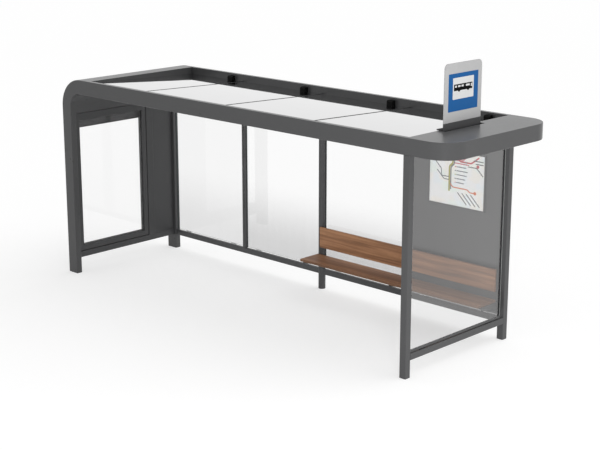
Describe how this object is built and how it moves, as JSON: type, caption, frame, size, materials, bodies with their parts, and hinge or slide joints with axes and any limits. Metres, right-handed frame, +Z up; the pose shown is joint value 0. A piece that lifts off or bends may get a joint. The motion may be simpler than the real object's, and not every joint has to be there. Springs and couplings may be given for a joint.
{
  "type": "bus shelter",
  "caption": "Open-fronted bus shelter with a round-cornered metal frame, glass walls, a display case, wooden bench, wall map and roof stop sign.",
  "frame": {"origin": "centre of the bounding box at ground level", "axes": "+X along the length towards the sign end, +Y from the open front to the back wall, +Z up"},
  "size_m": [6.06, 1.75, 3.17],
  "materials": {
    "dark_paint": "satin anthracite powder coat",
    "clear_glass": "clear toughened glass",
    "closed_panel": "grey laminate sheet",
    "roof_sheet": "polished light roof sheet",
    "bench_wood": "oiled reddish hardwood",
    "sign_body": "light grey satin",
    "map_face": "printed sheet behind clear cover",
    "rubber": "black setting blocks",
    "black_metal": "satin black"
  },
  "bodies": {
    "root": {"bench_back": "bench_wood", "bench_bracket_1": "dark_paint", "bench_bracket_2": "dark_paint", "bench_bracket_3": "dark_paint", "bench_seat": "bench_wood", "case_back_frame": "dark_paint", "case_back_glass": "clear_glass", "case_body": "dark_paint", "case_leaf": "dark_paint", "case_leaf_glass": "clear_glass", "end_fascia": "dark_paint", "end_glass": "clear_glass", "end_rail": "dark_paint", "end_setting_blocks": "rubber", "front_fascia": "dark_paint", "front_left_corner": "dark_paint", "front_left_post": "dark_paint", "front_right_post": "dark_paint", "left_roof_edge": "dark_paint", "map_board": "map_face", "map_frame": "dark_paint", "rear_fascia": "dark_paint", "rear_glass_1": "clear_glass", "rear_glass_2": "clear_glass", "rear_glass_3": "clear_glass", "rear_left_corner": "dark_paint", "rear_left_post": "dark_paint", "rear_middle_post": "dark_paint", "rear_mullion_left": "dark_paint", "rear_mullion_right": "dark_paint", "rear_panel": "closed_panel", "rear_rail_left": "dark_paint", "rear_rail_right": "dark_paint", "rear_right_post": "dark_paint", "rear_setting_blocks": "rubber", "roof_clamps": "black_metal", "roof_end_plate": "dark_paint", "roof_end_soffit": "dark_paint", "roof_panel_1": "roof_sheet", "roof_panel_2": "roof_sheet", "roof_panel_3": "roof_sheet", "roof_panel_4": "roof_sheet", "roof_rafter_1": "dark_paint", "roof_rafter_2": "dark_paint", "roof_rafter_3": "dark_paint", "roof_rafter_4": "dark_paint", "roof_rafter_5": "dark_paint", "sign_blade": "sign_body", "sign_holder": "dark_paint", "wall_bottom_rail": "dark_paint", "wall_panel": "dark_paint", "wall_stile": "dark_paint"}
  },
  "joints": []
}
